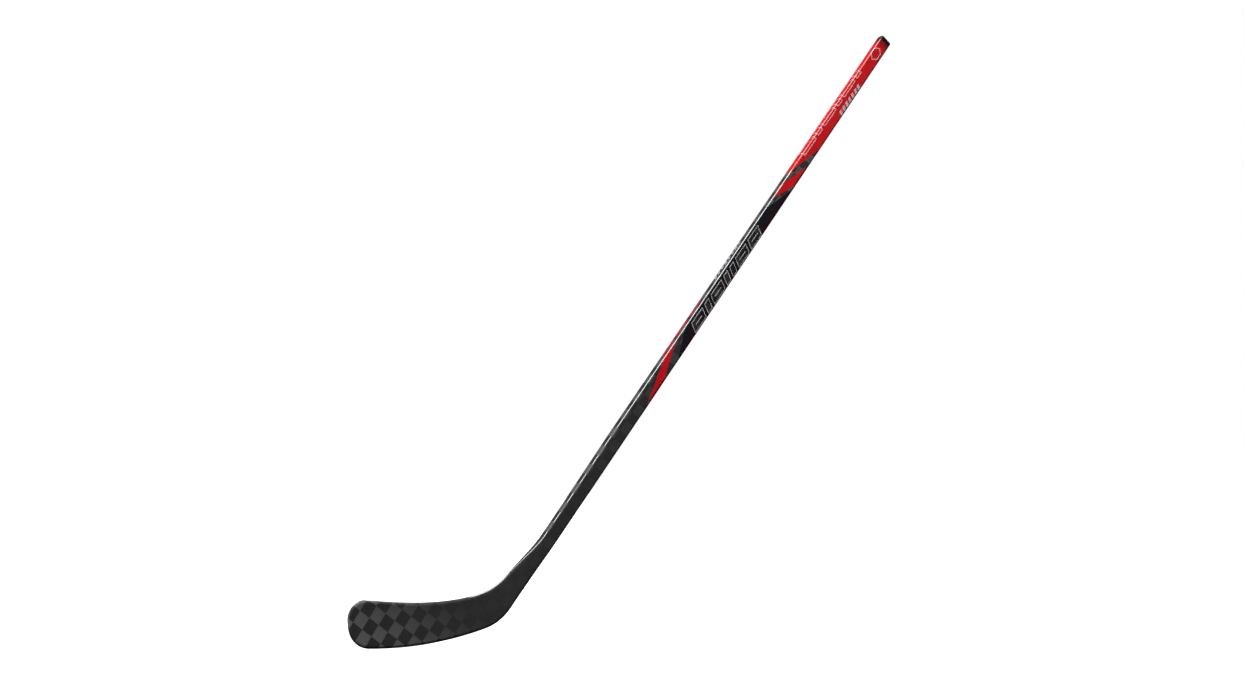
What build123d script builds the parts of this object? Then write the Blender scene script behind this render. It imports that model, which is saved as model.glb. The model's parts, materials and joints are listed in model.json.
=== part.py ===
from build123d import *
from math import cos, radians, sin, sqrt
import os

# Ice hockey stick, millimetres. Origin: the rocker's lowest point, where the blade meets the ice,
# in the middle of the blade's thickness. +Z is up, the toe points to -X, the shaft leans to +X,
# and the forehand face of the blade is hollow towards -Y.

# shaft
lie_angle = 47.0             # shaft axis above the ice, lie 6
heel_x = 100.0               # where the shaft's back edge line meets the ice
butt_at = 1524.0             # heel to butt end along the shaft, a 60 inch senior shaft
shaft_wide = 29.2
shaft_thick = 19.5
shaft_round = 4.8            # radius of the shaft's long corners
wall = 1.8
neck_wide = 27.4             # the shaft narrows just above the blade
neck_thick = 18.2
neck_round = 4.5
neck_top_at = 400.0          # stations along the shaft, from the heel
neck_low_at = 250.0
hosel_top_at = 180.0
cap_at = 1513.0

# blade
curve_radius = 835.0         # the blade's curve in plan
curve_start_x = 136.0
blade_thick = 7.0
skin = 1.2
rocker_radius = 560.0
heel_radius = 84.0
toe_low_radius = 42.0
toe_low_x = -119.0
toe_high_radius = 27.5
toe_high = (-133.5, 65.5)
top_edge = [(-57.0, 75.0), (-14.0, 67.5), (29.0, 64.0), (72.0, 66.0), (97.0, 72.0), (121.0, 85.0), (150.0, 107.0)]
top_slope = 13.5             # degrees, the top edge rises towards the toe
blade_tall = 200.0           # taller than the blade, for cutting
band = 3.5                   # width of the edge bands between the skins
band_split_x = -122.0
stringer_low = 36.0
stringer_high = 40.0

# hosel and the joint inside it
blade_root_at = 75.0         # the blade mouldings end here and the hosel begins
heel_block_at = 40.0
hosel_sections = [(75.0, 42.8, 7.0, 3.3), (110.0, 36.8, 9.5, 3.6), (146.0, 31.0, 14.5, 4.0)]
hosel_wall = 2.0
tenon_top_at = 240.0
tenon_wall = 1.6
adhesive = 0.25
foam_dam_long = 40.0

# end plug
plug_gap = 0.05              # running clearance to the tube all round
spigot_long = 38.0
spigot_wall = 2.5
cap_edge = 1.6

# decal films, on the shaft or on the film below: stations along the shaft, rise from the back edge
film = 0.12
corner_low = 0.3             # films on the wide faces run from one long corner to the other
corner_high = 26.6
lower_flash = [(470.0, corner_low), (539.0, corner_low), (625.0, corner_high), (587.0, corner_high)]
upper_flash = [(1086.0, corner_low), (1148.0, corner_low), (1059.0, corner_high), (1017.0, corner_high)]
panel = [(596.0, corner_low), (1076.0, corner_low), (988.0, corner_high), (662.0, corner_high)]
grip_edge = [(1193.0, -2.0), (1193.0, 0.0), (1092.0, 28.0), (1079.0, 32.0)]
dash_at = 590.0
dash_long = 18.0
dash_pitch = 25.5
dash_count = 5
dash_half = 4.2
motif_at = 670.0
motif_gap = 8.0
motif_bars = [42.0, 16.0, 42.0, 16.0, 16.0, 42.0, 42.0]      # long and short bars, in order
motif_low = 3.0
motif_high = 22.0
motif_lean = 10.0
stroke = 1.3
tick_at = 789.0
tick_pitch = 13.6
tick_count = 8
grip_bar_at = 1146.0
grip_bars = [52.0, 20.0, 52.0, 20.0, 52.0, 20.0]
grip_bar_gap = 9.0
grip_bar_low = -2.5          # across the corner, from the wide face to the narrow side
grip_bar_high = 13.0
grip_tick_at = 1286.0
grip_tick_count = 7
badge_at = 1472.0
badge_half = 19.0

flex = cos(radians(lie_angle)), sin(radians(lie_angle))
shaft_y = curve_radius - sqrt(curve_radius ** 2 - curve_start_x ** 2)


def along(at, rise, y=0.0):
    """A point at a station along the shaft, rise up from its back edge, y from its middle plane."""
    return Vector(heel_x + at * flex[0] - rise * flex[1], shaft_y + y, at * flex[1] + rise * flex[0])


def station(at, rise=shaft_wide / 2):
    """A plane across the shaft: its x runs from the back edge up."""
    return Plane(origin=along(at, rise), x_dir=(-flex[1], 0, flex[0]), z_dir=(flex[0], 0, flex[1]))


def section(at, wide, thick, radius, middle):
    """A rounded section across the shaft, its middle that far up from the back edge."""
    return station(at, middle) * RectangleRounded(wide, thick, radius)


def run(at_low, at_high, wide, thick, radius, middle=shaft_wide / 2):
    """A straight rounded bar along the shaft."""
    return extrude(section(at_low, wide, thick, radius, middle), at_high - at_low)


def full_run(at_low, at_high, inset=0.0):
    """A length of the shaft's full section, or that far inside it."""
    wide, thick = shaft_wide - 2 * inset, shaft_thick - 2 * inset
    return run(at_low, at_high, wide, thick, shaft_round - inset)


def neck_run(at_low, at_high, inset=0.0):
    """A length of the neck's section, or that far inside it."""
    wide, thick = neck_wide - 2 * inset, neck_thick - 2 * inset
    return run(at_low, at_high, wide, thick, neck_round - inset, neck_wide / 2)


def shaft_solid(inset=0.0):
    """The shaft below the cap: full section, the cone down to the neck, and the neck."""
    wide, thick, radius = neck_wide - 2 * inset, neck_thick - 2 * inset, neck_round - inset
    neck = section(neck_low_at, wide, thick, radius, neck_wide / 2)
    wide, thick, radius = shaft_wide - 2 * inset, shaft_thick - 2 * inset, shaft_round - inset
    cone = loft([neck, section(neck_top_at, wide, thick, radius, shaft_wide / 2)])
    return full_run(neck_top_at, cap_at, inset) + cone + neck_run(hosel_top_at, neck_low_at, inset)


def shaft_tube():
    return shaft_solid() - shaft_solid(wall)


def end_plug():
    """The cap that closes the butt end, and the hollow spigot that goes into the tube."""
    cap = full_run(cap_at, butt_at)
    butt = cap.faces().sort_by(Axis(along(0, 0), (flex[0], 0, flex[1])))[-1]
    cap = fillet(butt.edges(), cap_edge)
    spigot = full_run(cap_at - spigot_long, cap_at, wall + plug_gap)
    hollow = full_run(cap_at - spigot_long, cap_at - spigot_wall, wall + plug_gap + spigot_wall)
    return cap + (spigot - hollow)


def lowered(points, drop):
    """The same row of points, moved down square to the line that they make."""
    moved = []
    for i, point in enumerate(points):
        before, after = points[max(i - 1, 0)], points[min(i + 1, len(points) - 1)]
        run_of = (after - before).normalized()
        moved.append(point + Vector(-run_of.Y, run_of.X) * drop)
    return moved


def blade_outline(inset=0.0):
    """The blade, heel and hosel seen from the side, or a line that far inside their edge."""
    up_shaft = Vector(*flex)
    up_side = Vector(-flex[1], flex[0])
    rocker_centre = Vector(0, rocker_radius)
    sole = rocker_radius - inset
    toe_low_z = rocker_radius - sqrt((rocker_radius - toe_low_radius) ** 2 - toe_low_x ** 2)
    toe_low, toe_low_round = Vector(toe_low_x, toe_low_z), toe_low_radius - inset
    toe_start = rocker_centre + (toe_low - rocker_centre).normalized() * sole
    # the heel arc is tangent to the rocker and to the back edge
    heel_row = Vector(heel_x, 0) + up_side * heel_radius
    gap = heel_row - rocker_centre
    half = gap.dot(up_shaft)
    slide = -half - sqrt(half ** 2 - gap.dot(gap) + (rocker_radius - heel_radius) ** 2)
    heel_centre, heel_round = heel_row + up_shaft * slide, heel_radius - inset
    heel_start = rocker_centre + (heel_centre - rocker_centre).normalized() * sole
    heel_end = heel_centre - up_side * heel_round
    heel_mid = heel_centre + ((heel_start + heel_end) * 0.5 - heel_centre).normalized() * heel_round
    root = Vector(heel_x, 0) + up_shaft * hosel_top_at + up_side * inset
    slope = radians(top_slope)
    corner, corner_round = Vector(*toe_high), toe_high_radius - inset
    top_start = corner + Vector(sin(slope), cos(slope)) * corner_round
    left_high = corner - Vector(corner_round, 0)
    left_low = toe_low - Vector(toe_low_round, 0)
    root_top = Vector(heel_x, 0) + up_shaft * hosel_top_at + up_side * (neck_wide - inset)
    top_points = [root_top] + lowered([Vector(*p) for p in reversed(top_edge)], inset) + [top_start]
    top_ends = [up_shaft * -1, Vector(-cos(slope), sin(slope))]
    return make_face([
        ThreePointArc(toe_start, Vector(0, inset), heel_start),
        ThreePointArc(heel_start, heel_mid, heel_end),
        Line(heel_end, root),
        Line(root, root_top),
        Spline(top_points, tangents=top_ends),
        ThreePointArc(top_start, corner + Vector(-1, 1).normalized() * corner_round, left_high),
        Line(left_high, left_low),
        ThreePointArc(left_low, toe_low + Vector(-1, -1).normalized() * toe_low_round, toe_start),
    ])


def blade_layer(low, high):
    """The curved sheet between two depths either side of the blade's middle surface."""
    ring = Circle(curve_radius + high) - Circle(curve_radius + low)
    window = Pos(-175, curve_radius - 40) * Rectangle(350, 130)
    flat = Pos(50, curve_radius + (low + high) / 2) * Rectangle(100, high - low)
    return extrude(Pos(curve_start_x, shaft_y - curve_radius) * ((ring & window) + flat), blade_tall)


def prism(face):
    """A shape drawn in the side view, made solid right through the stick."""
    side = Plane(origin=(0, blade_tall / 2, 0), x_dir=(1, 0, 0), z_dir=(0, -1, 0))
    return extrude(side * face, blade_tall)


def beyond(at):
    """Everything further up the shaft than a station."""
    return extrude(station(at) * Rectangle(2 * blade_tall, 2 * blade_tall), 2 * blade_tall)


def level(low, high, left=-300.0, right=300.0):
    """A block between two heights and two places along the blade."""
    return Pos((left + right) / 2, 0, (low + high) / 2) * Box(right - left, blade_tall, high - low)


def blade_parts():
    whole, inner = prism(blade_outline()), prism(blade_outline(band))
    half, core_half = blade_thick / 2, blade_thick / 2 - skin
    blade = whole - beyond(blade_root_at)
    filling = blade_layer(-core_half, core_half)
    core = (filling & inner) - beyond(heel_block_at)
    edge = (filling & (whole - inner)) - beyond(heel_block_at)
    middle = (stringer_low + stringer_high) / 2
    return {
        "forehand_skin": blade_layer(-half, -core_half) & blade,
        "backhand_skin": blade_layer(core_half, half) & blade,
        "core_lower": core & level(-1, stringer_low),
        "core_stringer": core & level(stringer_low, stringer_high),
        "core_upper": core & level(stringer_high, blade_tall),
        "toe_edge_band": edge & level(-1, blade_tall, right=band_split_x),
        "sole_edge_band": edge & level(-1, middle, left=band_split_x),
        "top_edge_band": edge & level(middle, blade_tall, left=band_split_x),
        "heel_block": (filling & blade) & beyond(heel_block_at),
    }


def hosel_loft(inset, at_high):
    """The hosel from the blade's root up to a station, or that far inside it."""
    sections = hosel_sections + [(hosel_top_at, neck_wide, neck_thick, neck_round)]
    if at_high < hosel_top_at:
        sections = hosel_sections
    faces = []
    for at, wide, thick, radius in sections:
        radius = min(radius, (thick - 2 * inset) / 2 - 0.1)
        faces.append(section(at, wide - 2 * inset, thick - 2 * inset, radius, wide / 2))
    return loft(faces)


def hosel_parts():
    cavity = hosel_loft(hosel_wall, hosel_sections[-1][0])
    slack = wall + adhesive
    tenon_inside = slack + tenon_wall
    sleeve = neck_run(hosel_top_at, tenon_top_at, wall) - neck_run(hosel_top_at, tenon_top_at, slack)
    dam_low, dam_high = tenon_top_at, tenon_top_at + foam_dam_long
    dam = shaft_solid(wall) & (beyond(dam_low) - beyond(dam_high))
    return {
        "hosel_shell": hosel_loft(0, hosel_top_at) - cavity,
        "hosel_foam": cavity,
        "blade_tenon": neck_run(hosel_top_at, tenon_top_at, slack) - neck_run(hosel_top_at, tenon_top_at, tenon_inside),
        "tenon_core": neck_run(hosel_top_at, tenon_top_at, tenon_inside),
        "joint_adhesive": sleeve,
        "shaft_foam_dam": dam,
    }


def film_ring(at_low, at_high, layer=0):
    """A thin sleeve round the shaft, on the shaft itself or on the film below."""
    return full_run(at_low, at_high, -film * (layer + 1)) - full_run(at_low, at_high, -film * layer)


def outline_face(points, hole=None):
    face = make_face(Polyline(*points, close=True))
    return face - make_face(Polyline(*hole, close=True)) if hole else face


def film_patch(plane, deep, layer, points, hole=None):
    """The part of a thin sleeve that an outline drawn on a plane cuts out, deep from the plane."""
    at = [p[0] for p in points]
    return film_ring(min(at) - 1, max(at) + 1, layer) & extrude(plane * outline_face(points, hole), deep)


def on_faces(points, layer=0, hole=None):
    """A film on both wide faces, from its outline in stations and rise from the back edge."""
    side = Plane(origin=along(0, 0, shaft_thick), x_dir=(flex[0], 0, flex[1]), z_dir=(0, -1, 0))
    return film_patch(side, 2 * shaft_thick, layer, points, hole)


def on_top(points, layer=0):
    """A film on the narrow upper side, from its outline in stations and depth from the middle."""
    top = Plane(origin=along(0, shaft_wide / 2), x_dir=(flex[0], 0, flex[1]), z_dir=(-flex[1], 0, flex[0]))
    return film_patch(top, shaft_wide, layer, points)


def on_corner(points, layer=0, hole=None):
    """A film round the long corner between the forehand face and the narrow upper side."""
    out = Vector(-flex[1], -1, flex[0])
    corner = Plane(origin=along(0, shaft_wide / 2), x_dir=(flex[0], 0, flex[1]), z_dir=out)
    return film_patch(corner, shaft_wide, layer, points, hole)


def slanted(at, long, low, high, lean):
    """A slanted bar: its corners in stations and in the other direction."""
    return [(at, low), (at + long, low), (at + long + lean, high), (at + lean, high)]


def framed(at, long, low, high, lean):
    """A slanted bar and the hole that leaves only its outline."""
    shift = lean * stroke / (high - low)
    inner = slanted(at + stroke + shift, long - 2 * stroke, low + stroke, high - stroke, lean - 2 * shift)
    return slanted(at, long, low, high, lean), inner


def in_row(start, lengths, gap):
    """Where each bar of a row starts, and its length."""
    places = []
    for long in lengths:
        places.append((start, long))
        start += long + gap
    return places


def dash_films():
    dashes = [slanted(dash_at + i * dash_pitch, dash_long, -dash_half, dash_half, 0) for i in range(dash_count)]
    tail_at = dash_at + dash_count * dash_pitch
    tail = [(tail_at, -dash_half), (tail_at + 24, dash_half - 1), (tail_at + 24, dash_half), (tail_at, dash_half)]
    return [on_top(points) for points in dashes + [tail]]


def motif_films():
    films = []
    for at, long in in_row(motif_at, motif_bars, motif_gap):
        bar, hole = framed(at, long, motif_low, motif_high, motif_lean)
        films.append(on_faces(bar, 1, hole))
    return films


def grip_bar_films():
    films = []
    for at, long in in_row(grip_bar_at, grip_bars, grip_bar_gap):
        bar, hole = framed(at, long, grip_bar_low, grip_bar_high, 0)
        films.append(on_corner(bar, 1, hole))
    return films


def badge_film():
    """A plain six-sided frame round the corner near the butt end."""
    middle, half, tall = -4.0, badge_half, 8.5

    def ring(inset):
        long, high = half - inset * 1.2, tall - inset
        return [(badge_at - long, middle), (badge_at - long / 2, middle - high), (badge_at + long / 2, middle - high),
                (badge_at + long, middle), (badge_at + long / 2, middle + high), (badge_at - long / 2, middle + high)]

    return on_corner(ring(0), 1, ring(stroke))


def decal_films():
    """Every film is a group of solids on the shaft."""
    grip = grip_edge + [(cap_at, 32.0), (cap_at, -2.0)]
    ticks = [on_top(slanted(tick_at + i * tick_pitch, 8, -2.5, 2.5, 3)) for i in range(tick_count)]
    grip_ticks = [slanted(grip_tick_at + i * tick_pitch, 8, 3.5, 12.5, 4) for i in range(grip_tick_count)]
    return {
        "lower_flash_film": [on_faces(lower_flash)],
        "upper_flash_film": [on_faces(upper_flash)],
        "face_panel_film": [on_faces(panel)],
        "grip_zone_film": [on_faces(grip)],
        "side_dash_films": dash_films(),
        "face_motif_films": motif_films(),
        "side_tick_films": ticks,
        "grip_tick_films": [on_faces(points, 1) for points in grip_ticks],
        "grip_bar_films": grip_bar_films(),
        "grip_badge_film": [badge_film()],
    }


def save(node, shapes):
    solids = [solid for shape in shapes for solid in shape.solids()]
    export_step(Compound(label=node, children=solids), f"parts/{node}.step")


def main():
    os.makedirs("parts", exist_ok=True)
    single = {"shaft_tube": shaft_tube(), "end_plug": end_plug()}
    single.update(hosel_parts())
    single.update(blade_parts())
    for node, shape in single.items():
        save(node, [shape])
    for node, shapes in decal_films().items():
        save(node, shapes)


main()
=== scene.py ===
import json
import math
import bmesh
import bpy
import numpy as np
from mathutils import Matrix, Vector


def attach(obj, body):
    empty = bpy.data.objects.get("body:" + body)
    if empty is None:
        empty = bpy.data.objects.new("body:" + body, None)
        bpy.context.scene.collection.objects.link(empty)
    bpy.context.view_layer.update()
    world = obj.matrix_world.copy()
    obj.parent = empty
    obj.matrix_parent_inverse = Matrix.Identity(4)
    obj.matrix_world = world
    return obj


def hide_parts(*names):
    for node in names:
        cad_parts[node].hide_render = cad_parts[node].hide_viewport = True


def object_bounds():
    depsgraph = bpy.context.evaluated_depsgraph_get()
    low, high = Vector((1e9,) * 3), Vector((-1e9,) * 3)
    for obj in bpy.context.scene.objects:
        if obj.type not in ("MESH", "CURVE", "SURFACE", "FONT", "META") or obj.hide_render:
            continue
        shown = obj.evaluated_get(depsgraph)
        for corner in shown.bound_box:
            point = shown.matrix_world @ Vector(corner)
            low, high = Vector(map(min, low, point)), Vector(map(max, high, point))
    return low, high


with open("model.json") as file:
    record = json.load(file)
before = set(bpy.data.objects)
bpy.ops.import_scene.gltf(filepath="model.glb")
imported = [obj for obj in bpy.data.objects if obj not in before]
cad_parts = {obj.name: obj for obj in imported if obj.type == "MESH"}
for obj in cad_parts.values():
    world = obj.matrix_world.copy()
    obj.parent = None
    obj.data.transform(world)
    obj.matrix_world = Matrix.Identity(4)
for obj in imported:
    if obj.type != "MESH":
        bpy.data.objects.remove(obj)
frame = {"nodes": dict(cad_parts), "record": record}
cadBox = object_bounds()
print("frame loaded:", len(frame["nodes"]), "nodes")

mm = 0.001
mounts = {mount["name"]: mount for mount in frame["record"]["mounts"]}
butt = np.array(mounts["butt_face"]["pos_m"]) / mm
shaftUp = np.array(mounts["butt_face"]["axis"])      # along the shaft, towards the butt end
sideUp = np.array([-shaftUp[2], 0, shaftUp[0]])      # across the shaft, away from its back edge

shaft = {                # millimetres, stations are counted along the shaft from the heel
    "buttAt": 1524, "capAt": 1513, "neckTopAt": 400, "neckLowAt": 250, "hoselTopAt": 180,
    "wide": 29.2, "thick": 19.5, "round": 4.8, "wall": 1.8,
    "neckWide": 27.4, "neckThick": 18.2, "neckRound": 4.5, "leastRound": 0.3,
    "neckRungs": 23, "bodyFrom": 420, "bodyRungs": 40,
}
heel = butt - shaftUp * shaft["buttAt"] - sideUp * shaft["wide"] / 2
shaftY = butt[1]
heel[1] = 0

blade = {                # millimetres, its outline is in the side view: along the ice, and up
    "curve": 835, "straightFrom": 136, "thick": 7, "edge": 1.55, "skin": 1.2, "band": 3.5,
    "crown": 2.3,        # how far a face falls away at its rim
    "rocker": 560, "heelRound": 84, "toeLow": (-119, 42), "toeHigh": (-133.5, 65.5, 27.5),
    "topEdge": [(-57, 75), (-14, 67.5), (29, 64), (72, 66), (97, 72), (121, 85), (150, 107)],
    "topSlope": 13.5, "bandSplit": -122, "heelBlockAt": 40, "rootAt": 75,
    "rungs": 170, "toeCrowding": 1.1,      # rungs lie a little closer together near the toe
}
hosel = {                # millimetres, from the blade's root up to the shaft
    "at": [75, 110, 146, 180], "thick": [7, 9.5, 14.5, 18.2], "round": [1.55, 2.6, 4.0, 4.5],
    "crown": [2.3, 1.3, 0.2, 0.0], "wall": 2.0, "rungs": 30,
}
cornerAngles = np.radians([0, 12, 25, 37, 49.3, 62, 76, 90])     # from the rim to the face
skinStep = 4             # the corner angle in that list where a blade skin meets the edge band
crownWide = 5            # millimetres in which a face falls away towards its rounded edge
crownShares = [0.12, 0.25, 0.4, 0.6, 0.8, 1.0]
thinnest = 0.1           # millimetres left of a skin at its rim
flatShares = [0.15, 0.3, 0.45, 0.6, 0.75, 0.88]
runPoints = {"end": 8, "line": 60, "arc": 80, "sole": 200, "top": 400}      # on each run of the outline
onePoint = 1e-6          # millimetres, nearer points of an outline count as one
tiny = 1e-9


# a smooth row of values through a few places, with its slope set at both ends
def splineThrough(places, values, startSlope, endSlope):
    places, values = np.array(places, float), np.array(values, float)
    gaps, rises = np.diff(places), np.diff(values)
    count = len(places)
    grid, right = np.eye(count), np.zeros(count)
    right[0], right[-1] = startSlope, endSlope
    for i in range(1, count - 1):
        grid[i, i - 1:i + 2] = 1 / gaps[i - 1], 2 / gaps[i - 1] + 2 / gaps[i], 1 / gaps[i]
        right[i] = 3 * (rises[i - 1] / gaps[i - 1] ** 2 + rises[i] / gaps[i] ** 2)
    slopes = np.linalg.solve(grid, right)

    def valueAt(x):
        i = np.clip(np.searchsorted(places, x, side="right") - 1, 0, count - 2)
        s = (x - places[i]) / gaps[i]
        bend = (1 - s) * (slopes[i] * gaps[i] - rises[i]) + s * (rises[i] - slopes[i + 1] * gaps[i])
        return values[i] + s * rises[i] + s * (1 - s) * bend
    return valueAt


# the blade's middle surface: how far it lies along y, and how far it has turned there
def bladeMiddle(x):
    turn = np.arcsin(np.clip(blade["straightFrom"] - x, 0, None) / blade["curve"])
    return shaftY - blade["curve"] * (1 - np.cos(turn)), turn


def angleOf(v):
    return math.degrees(math.atan2(v[1], v[0]))


def arcRun(centre, radius, startDegrees, endDegrees, count=runPoints["arc"]):
    angles = np.radians(np.linspace(startDegrees, endDegrees, count))
    outward = np.stack([np.cos(angles), np.sin(angles)], 1)
    return np.array(centre) + radius * outward, outward


def lineRun(start, end, outward, count=runPoints["line"]):
    shares = np.linspace(0, 1, count)[:, None]
    return np.array(start) * (1 - shares) + np.array(end) * shares, np.tile(outward, (count, 1))


def joinRuns(runs):
    points = np.concatenate([run[0] for run in runs])
    outward = np.concatenate([run[1] for run in runs])
    steps = np.linalg.norm(np.diff(points, axis=0), axis=1)
    keep = np.concatenate([[True], steps > onePoint])
    points, outward = points[keep], outward[keep]
    length = np.concatenate([[0], np.cumsum(np.linalg.norm(np.diff(points, axis=0), axis=1))])
    at = (points - heel[[0, 2]]) @ shaftUp[[0, 2]]
    return {"points": points, "outward": outward, "length": length, "at": at}


# the outline from the middle of the toe's end, along the ice, round the heel and up the back edge
def lowEdge():
    toeCentre, toeRound = blade["toeLow"]
    toeZ = blade["rocker"] - math.sqrt((blade["rocker"] - toeRound) ** 2 - toeCentre ** 2)
    toe, rocker = np.array([toeCentre, toeZ]), np.array([0, blade["rocker"]])
    up, across = shaftUp[[0, 2]], sideUp[[0, 2]]
    row = heel[[0, 2]] + across * blade["heelRound"]
    gap = row - rocker
    half = gap @ up
    slide = -half - math.sqrt(half ** 2 - gap @ gap + (blade["rocker"] - blade["heelRound"]) ** 2)
    heelCentre = row + up * slide
    backEnd = heel[[0, 2]] + up * shaft["hoselTopAt"]
    toeTurn, heelTurn, backTurn = angleOf(toe - rocker), angleOf(heelCentre - rocker), angleOf(-across)
    left = toeCentre - toeRound
    middle = (toeZ + blade["toeHigh"][1]) / 2
    return joinRuns([
        lineRun((left, middle), (left, toeZ), (-1, 0), runPoints["end"]),
        arcRun(toe, toeRound, -180, toeTurn),
        arcRun(rocker, blade["rocker"], toeTurn, heelTurn, runPoints["sole"]),
        arcRun(heelCentre, blade["heelRound"], heelTurn, backTurn),
        lineRun(heelCentre - across * blade["heelRound"], backEnd, -across),
    ])


# the outline from the middle of the toe's end, round its upper corner and along the top edge
def highEdge():
    toeZ = lowEdge()["points"][0][1]
    cornerX, cornerZ, cornerRound = blade["toeHigh"]
    slope = math.radians(blade["topSlope"])
    start = (cornerX + math.sin(slope) * cornerRound, cornerZ + math.cos(slope) * cornerRound)
    end = heel[[0, 2]] + shaftUp[[0, 2]] * shaft["hoselTopAt"] + sideUp[[0, 2]] * shaft["neckWide"]
    row = np.array([start, *blade["topEdge"], end], float)
    chord = np.concatenate([[0], np.cumsum(np.linalg.norm(np.diff(row, axis=0), axis=1))])
    alongX = splineThrough(chord, row[:, 0], math.cos(slope), shaftUp[0])
    alongZ = splineThrough(chord, row[:, 1], -math.sin(slope), shaftUp[2])
    steps = np.linspace(0, chord[-1], runPoints["top"])
    points = np.stack([alongX(steps), alongZ(steps)], 1)
    way = np.gradient(points, axis=0)
    way /= np.linalg.norm(way, axis=1)[:, None]
    outward = np.stack([-way[:, 1], way[:, 0]], 1)
    left = cornerX - cornerRound
    return joinRuns([
        lineRun((left, toeZ), (left, cornerZ), (-1, 0), runPoints["end"]),
        arcRun((cornerX, cornerZ), cornerRound, 180, 90 - blade["topSlope"]),
        (points, outward),
    ])


def pickFrom(edge, key, places):
    points = [np.interp(places, edge[key], edge["points"][:, i]) for i in (0, 1)]
    outward = np.stack([np.interp(places, edge[key], edge["outward"][:, i]) for i in (0, 1)], 1)
    return np.stack(points, 1), outward / np.linalg.norm(outward, axis=1)[:, None]


# the parts of both edges that run up towards the shaft, where stations only rise
def risingEdges():
    low, high = lowEdge(), highEdge()
    rising = high["at"] > 0
    lowRising = {key: low[key][-runPoints["line"]:] for key in low}
    return lowRising, {key: high[key][rising] for key in high}


# rungs run across the stick from the low edge to the high edge
def bladeRungs():
    low, high = lowEdge(), highEdge()
    lowRising, highRising = risingEdges()
    lowEnd = np.interp(blade["rootAt"], lowRising["at"], lowRising["length"])
    highEnd = np.interp(blade["rootAt"], highRising["at"], highRising["length"])
    shares = np.linspace(0, 1, blade["rungs"]) ** blade["toeCrowding"]
    lowPoints, lowOut = pickFrom(low, "length", shares * lowEnd)
    highPoints, highOut = pickFrom(high, "length", shares * highEnd)
    size = np.ones(blade["rungs"])
    return {"low": lowPoints, "lowOut": lowOut, "high": highPoints, "highOut": highOut,
            "thick": size * blade["thick"], "round": size * blade["edge"], "crown": size * blade["crown"]}


def hoselRungs():
    low, high = risingEdges()
    stations = np.linspace(blade["rootAt"], shaft["hoselTopAt"], hosel["rungs"])
    lowPoints, lowOut = pickFrom(low, "at", stations)
    highPoints, highOut = pickFrom(high, "at", stations)
    return {"low": lowPoints, "lowOut": lowOut, "high": highPoints, "highOut": highOut,
            "thick": splineThrough(hosel["at"], hosel["thick"], 0, 0)(stations),
            "round": splineThrough(hosel["at"], hosel["round"], 0, 0)(stations),
            "crown": np.interp(stations, hosel["at"], hosel["crown"])}


def sideOf(at, rise):
    at, rise = np.broadcast_arrays(np.asarray(at, float), np.asarray(rise, float))
    return heel[[0, 2]] + at[..., None] * shaftUp[[0, 2]] + rise[..., None] * sideUp[[0, 2]]


def shaftRungs(stations, inset=0.0):
    stations = np.asarray(stations, float)
    inset = np.broadcast_to(inset, stations.shape)
    knots = [shaft["neckLowAt"], shaft["neckTopAt"]]
    wide = np.interp(stations, knots, [shaft["neckWide"], shaft["wide"]])
    thick = np.interp(stations, knots, [shaft["neckThick"], shaft["thick"]])
    corner = np.interp(stations, knots, [shaft["neckRound"], shaft["round"]])
    down = np.tile(-sideUp[[0, 2]], (len(stations), 1))
    low, high = sideOf(stations, inset), sideOf(stations, wide - inset)
    return {"low": low, "lowOut": down, "high": high, "highOut": -down, "crown": 0 * thick,
            "thick": thick - 2 * inset, "round": np.clip(corner - inset, shaft["leastRound"], None)}


# from the side view to space; height is the distance from the middle surface
def toSpace(points, height, outward, bend, side):
    middle, turn = bladeMiddle(points[:, 0])
    place = np.stack([points[:, 0], middle + height / np.cos(turn), points[:, 1]], 1)
    tangent = np.stack([np.cos(turn), np.sin(turn), 0 * turn], 1)
    face = np.stack([-np.sin(turn), np.cos(turn), 0 * turn], 1)
    flat = tangent * outward[:, :1] + np.array([0, 0, 1]) * outward[:, 1:]
    return place, flat * np.cos(bend) + face * side * np.sin(bend)


# the place on the unrolled fabric: along the shaft and across it
def clothPlace(points, outward, extra):
    turn = bladeMiddle(points[:, 0])[1]
    unrolled = np.where(turn > 0, blade["straightFrom"] - blade["curve"] * turn, points[:, 0])
    flat = np.stack([unrolled, points[:, 1]], 1) + outward * np.reshape(extra, (-1, 1)) - heel[[0, 2]]
    return np.stack([flat @ shaftUp[[0, 2]], flat @ sideUp[[0, 2]]], 1)


# how far a face has leaned over where its rounded edge begins
def leanOf(rungs):
    return np.arctan(2 * rungs["crown"] / crownWide)


# one point of a rung's rounded edge, on every rung; with a level it is a skin's inner surface
def edgeColumn(rungs, end, angle, side, level=None):
    points, outward, corner = rungs[end], rungs[end + "Out"], rungs["round"]
    top = math.pi / 2 - leanOf(rungs)
    bend = angle * top / (math.pi / 2)
    drop = corner * (np.sin(top) - np.sin(bend))
    height = rungs["thick"] / 2 - rungs["crown"] - drop
    if level is not None:
        height = np.minimum(level, height - thinnest)
    base = points - outward * (corner * (1 - np.cos(bend)))[:, None]
    facing = bend[:, None] if level is None else -math.pi / 2
    place, normal = toSpace(base, side * height, outward, facing, side)
    return place, normal, clothPlace(base, outward, corner * (top - bend - np.cos(bend) + np.cos(top)))


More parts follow.
